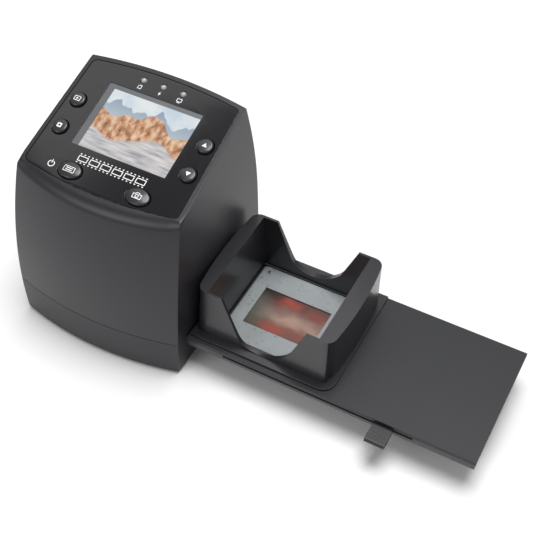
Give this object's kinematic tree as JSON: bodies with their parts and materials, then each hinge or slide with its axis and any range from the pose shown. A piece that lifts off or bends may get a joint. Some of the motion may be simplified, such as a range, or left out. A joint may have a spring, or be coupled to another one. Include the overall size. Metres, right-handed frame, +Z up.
{
  "type": "film negative scanner",
  "caption": "Table-top film and slide scanner: upright housing with a sloped screen console and buttons, and a long slide tray with a hopper and a hand pusher in its side.",
  "frame": {"origin": "centre of the footprint at the level of the feet, with the tray at its working place", "axes": "+X from the housing to the tray's free end, +Y to the back, +Z up"},
  "size_m": [0.2423, 0.0922, 0.1131],
  "materials": {
    "case_plastic": "satin charcoal plastic, fine moulded texture",
    "base_plastic": "satin charcoal plastic",
    "overlay_gloss": "gloss black-grey overlay",
    "screen_bezel": "grey bezel film",
    "screen": "glossy display glass",
    "lamp_lens": "milky lens",
    "button_gloss": "gloss dark grey, white pictograms",
    "circuit_board": "green solder mask",
    "metal_can": "stamped tinned steel",
    "chip_black": "black moulded package",
    "socket_black": "black moulded socket",
    "gate_black": "matt black inner plastic",
    "optics_black": "matt black, flocked look",
    "lens": "coated lens glass",
    "sensor": "sensor cover glass",
    "white_plastic": "white diffusing plastic",
    "led": "white LED package",
    "ribbon_film": "amber polyimide ribbon",
    "spring_steel": "spring steel",
    "screw_steel": "zinc-plated screws",
    "foot_rubber": "black rubber",
    "tray_lower": "lighter grey plastic",
    "tray_upper": "satin slate plastic",
    "pusher_plastic": "satin dark plastic",
    "mount_plastic": "blue-grey slide mount",
    "film": "developed film"
  },
  "bodies": {
    "housing": {"upper_shell": "case_plastic", "base_shell": "base_plastic", "control_panel": "overlay_gloss", "screen_frame": "screen_bezel", "screen_glass": "screen", "indicator_lamps": "lamp_lens", "key_board": "circuit_board", "key_switches": "metal_can", "main_board": "circuit_board", "board_chips": "chip_black", "card_socket": "metal_can", "usb_socket": "metal_can", "tv_jack": "socket_black", "film_gate": "gate_black", "light_tunnel": "optics_black", "lens_barrel": "optics_black", "lens_glass": "lens", "sensor_board": "circuit_board", "image_sensor": "sensor", "light_box": "white_plastic", "backlight_board": "white_plastic", "backlight_leds": "led", "diffuser": "white_plastic", "screen_ribbon": "ribbon_film", "sensor_ribbon": "ribbon_film", "tray_spring": "spring_steel", "case_screws": "screw_steel", "inner_screws": "screw_steel", "rubber_feet": "foot_rubber"},
    "tray": {"tray_base": "tray_lower", "tray_cover": "tray_upper", "tray_screws": "screw_steel"},
    "slide": {"slide_mount": "mount_plastic", "slide_film": "film"},
    "pusher": {"pusher": "pusher_plastic"},
    "button_review": {"button_review": "button_gloss"},
    "button_frame": {"button_frame": "button_gloss"},
    "button_up": {"button_up": "button_gloss"},
    "button_down": {"button_down": "button_gloss"},
    "button_menu": {"button_menu": "button_gloss"},
    "button_scan": {"button_scan": "button_gloss"}
  },
  "joints": [
    {"name": "tray_slide", "type": "slide", "parent": "housing", "child": "tray", "axis": [1, 0, 0], "range_m": [0, 0.08]},
    {"name": "slide_feed", "type": "slide", "parent": "tray", "child": "slide", "axis": [1, 0, 0], "range_m": [-0.0795, 0]},
    {"name": "pusher_return", "type": "slide", "parent": "slide", "child": "pusher", "axis": [1, 0, 0], "range_m": [0, 0.0092]},
    {"name": "press_review", "type": "slide", "parent": "housing", "child": "button_review", "axis": [0, -0.2857, 0.9583], "range_m": [-0.0006, 0], "stiffness_N_per_m": 400, "springref_m": 0.0003},
    {"name": "press_frame", "type": "slide", "parent": "housing", "child": "button_frame", "axis": [0, -0.2857, 0.9583], "range_m": [-0.0006, 0], "stiffness_N_per_m": 400, "springref_m": 0.0003},
    {"name": "press_up", "type": "slide", "parent": "housing", "child": "button_up", "axis": [0, -0.2857, 0.9583], "range_m": [-0.0006, 0], "stiffness_N_per_m": 400, "springref_m": 0.0003},
    {"name": "press_down", "type": "slide", "parent": "housing", "child": "button_down", "axis": [0, -0.2857, 0.9583], "range_m": [-0.0006, 0], "stiffness_N_per_m": 400, "springref_m": 0.0003},
    {"name": "press_menu", "type": "slide", "parent": "housing", "child": "button_menu", "axis": [0, -0.2857, 0.9583], "range_m": [-0.0006, 0], "stiffness_N_per_m": 400, "springref_m": 0.0003},
    {"name": "press_scan", "type": "slide", "parent": "housing", "child": "button_scan", "axis": [0, -0.2857, 0.9583], "range_m": [-0.0006, 0], "stiffness_N_per_m": 400, "springref_m": 0.0003}
  ]
}
